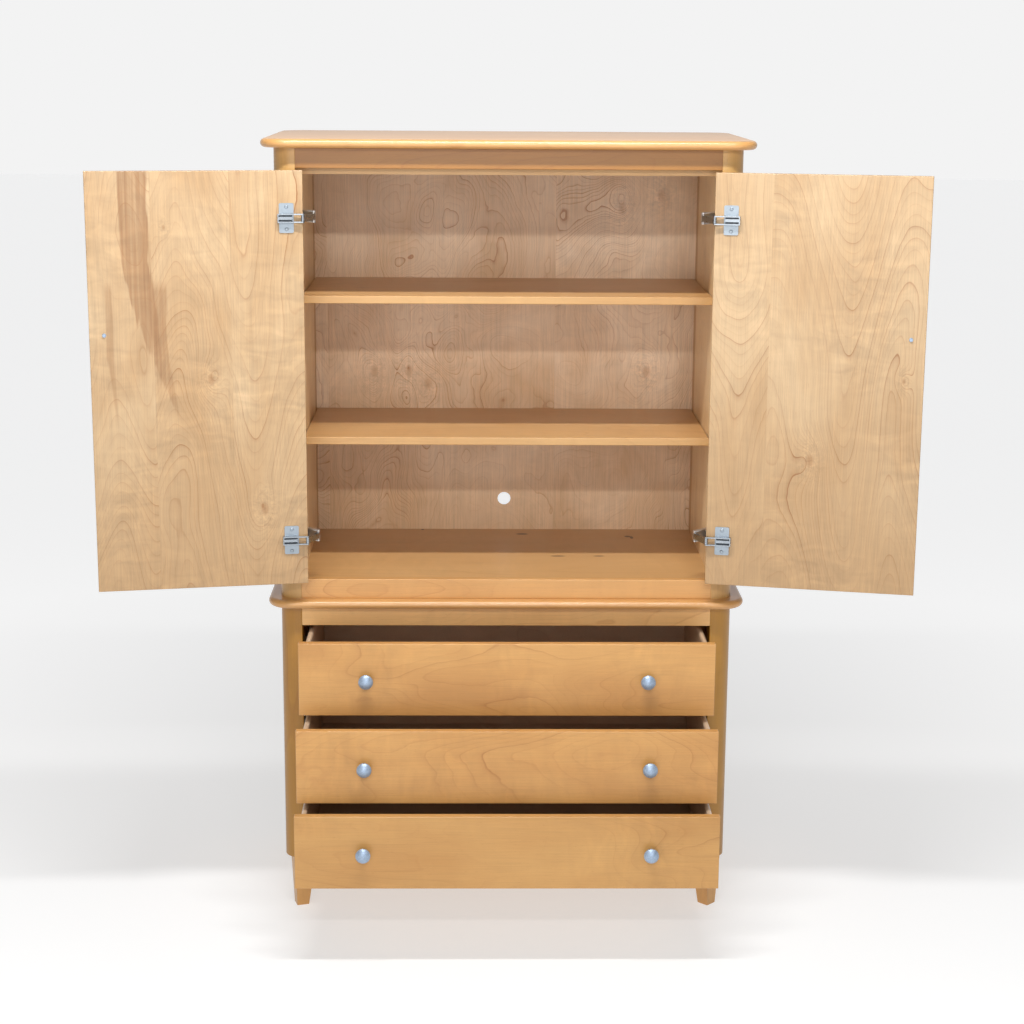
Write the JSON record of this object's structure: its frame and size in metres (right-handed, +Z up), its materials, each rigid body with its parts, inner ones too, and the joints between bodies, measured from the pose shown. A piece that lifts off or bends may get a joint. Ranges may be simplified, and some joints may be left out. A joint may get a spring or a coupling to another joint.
{
  "type": "armoire",
  "caption": "Wooden armoire: a cabinet with inset doors on wide-angle hinges and shelves, standing on a base of drawers with rounded corner posts and tapered feet.",
  "frame": {"origin": "on the floor, under the middle of the box that the armoire fills as it stands with its doors open and drawers partly out", "axes": "+X to the right of someone who faces the doors, +Y towards the armoire's back, +Z up"},
  "size_m": [1.7802, 0.866, 1.763],
  "materials": {
    "maple": "satin clear lacquer over honey-stained maple",
    "post_maple": "satin clear lacquer over honey-stained solid maple",
    "door_veneer": "satin lacquered maple veneer, crown cut",
    "inner_veneer": "matt brown-stained maple veneer",
    "box_wood": "clear-finished hardwood",
    "cleat_wood": "unfinished hardwood",
    "satin_nickel": "satin nickel plate",
    "hinge_zinc": "bright nickel-plated zinc",
    "hinge_steel": "nickel-plated steel",
    "slide_steel": "zinc-plated steel"
  },
  "bodies": {
    "case": {"base_post_front_left": "post_maple", "base_post_front_right": "post_maple", "base_post_back_left": "post_maple", "base_post_back_right": "post_maple", "base_side_left": "maple", "base_side_right": "maple", "base_back": "inner_veneer", "base_top_rail": "maple", "base_bottom_rail": "maple", "base_floor": "inner_veneer", "base_top": "maple", "foot_front_left": "post_maple", "foot_front_right": "post_maple", "foot_back_left": "post_maple", "foot_back_right": "post_maple", "slide_cleats": "cleat_wood", "case_slides": "slide_steel", "upper_post_front_left": "post_maple", "upper_post_front_right": "post_maple", "upper_post_back_left": "post_maple", "upper_post_back_right": "post_maple", "upper_side_left": "maple", "upper_side_right": "maple", "lining_left": "inner_veneer", "lining_right": "inner_veneer", "upper_back": "inner_veneer", "upper_top_rail": "maple", "upper_bottom_rail": "maple", "upper_floor": "inner_veneer", "upper_ceiling": "inner_veneer", "crown": "maple", "lower_shelf": "inner_veneer", "upper_shelf": "inner_veneer", "shelf_pins": "slide_steel", "hinge_cups": "hinge_steel"},
    "left_long_links": {"long_links_left": "hinge_steel"},
    "left_short_links": {"short_links_left": "hinge_zinc"},
    "left_door": {"door_left": "door_veneer", "hinge_arms_left": "hinge_zinc", "door_knob_left": "satin_nickel"},
    "right_long_links": {"long_links_right": "hinge_steel"},
    "right_short_links": {"short_links_right": "hinge_zinc"},
    "right_door": {"door_right": "door_veneer", "hinge_arms_right": "hinge_zinc", "door_knob_right": "satin_nickel"},
    "top_drawer": {"top_drawer_front": "maple", "top_drawer_box": "box_wood", "top_drawer_bottom": "inner_veneer", "top_drawer_knobs": "satin_nickel", "top_drawer_slides": "slide_steel"},
    "middle_drawer": {"middle_drawer_front": "maple", "middle_drawer_box": "box_wood", "middle_drawer_bottom": "inner_veneer", "middle_drawer_knobs": "satin_nickel", "middle_drawer_slides": "slide_steel"},
    "bottom_drawer": {"bottom_drawer_front": "maple", "bottom_drawer_box": "box_wood", "bottom_drawer_bottom": "inner_veneer", "bottom_drawer_knobs": "satin_nickel", "bottom_drawer_slides": "slide_steel"}
  },
  "joints": [
    {"name": "left_long_link_pivot", "type": "hinge", "parent": "case", "child": "left_long_links", "pos_m": [-0.46065, -0.0615, 1.246], "axis": [0, 0, -1], "range_deg": [-71.81, 0.23]},
    {"name": "left_short_link_pivot", "type": "hinge", "parent": "left_long_links", "child": "left_short_links", "pos_m": [-0.4189, -0.09882, 1.246], "axis": [0, 0, 1], "range_deg": [-103.42, 0.33]},
    {"name": "left_door_swing", "type": "hinge", "parent": "left_short_links", "child": "left_door", "pos_m": [-0.43797, -0.14827, 1.246], "axis": [0, 0, -1], "range_deg": [-201.11, 0.59]},
    {"name": "right_long_link_pivot", "type": "hinge", "parent": "case", "child": "right_long_links", "pos_m": [0.46335, -0.0615, 1.246], "axis": [0, 0, 1], "range_deg": [-70.88, 1.16]},
    {"name": "right_short_link_pivot", "type": "hinge", "parent": "right_long_links", "child": "right_short_links", "pos_m": [0.42099, -0.09813, 1.246], "axis": [0, 0, -1], "range_deg": [-102.07, 1.67]},
    {"name": "right_door_swing", "type": "hinge", "parent": "right_short_links", "child": "right_door", "pos_m": [0.44042, -0.14744, 1.246], "axis": [0, 0, 1], "range_deg": [-198.5, 3.2]},
    {"name": "top_drawer_slide", "type": "slide", "parent": "case", "child": "top_drawer", "axis": [0, -1, 0], "range_m": [-0.143, 0.207]},
    {"name": "middle_drawer_slide", "type": "slide", "parent": "case", "child": "middle_drawer", "axis": [0, -1, 0], "range_m": [-0.24, 0.11]},
    {"name": "bottom_drawer_slide", "type": "slide", "parent": "case", "child": "bottom_drawer", "axis": [0, -1, 0], "range_m": [-0.31, 0.04]}
  ],
  "couplings": [
    {"joint": "left_long_link_pivot", "follows": "left_door_swing", "ratio": 0.35697},
    {"joint": "left_short_link_pivot", "follows": "left_door_swing", "ratio": 0.51413},
    {"joint": "right_long_link_pivot", "follows": "right_door_swing", "ratio": 0.35697},
    {"joint": "right_short_link_pivot", "follows": "right_door_swing", "ratio": 0.51413}
  ]
}
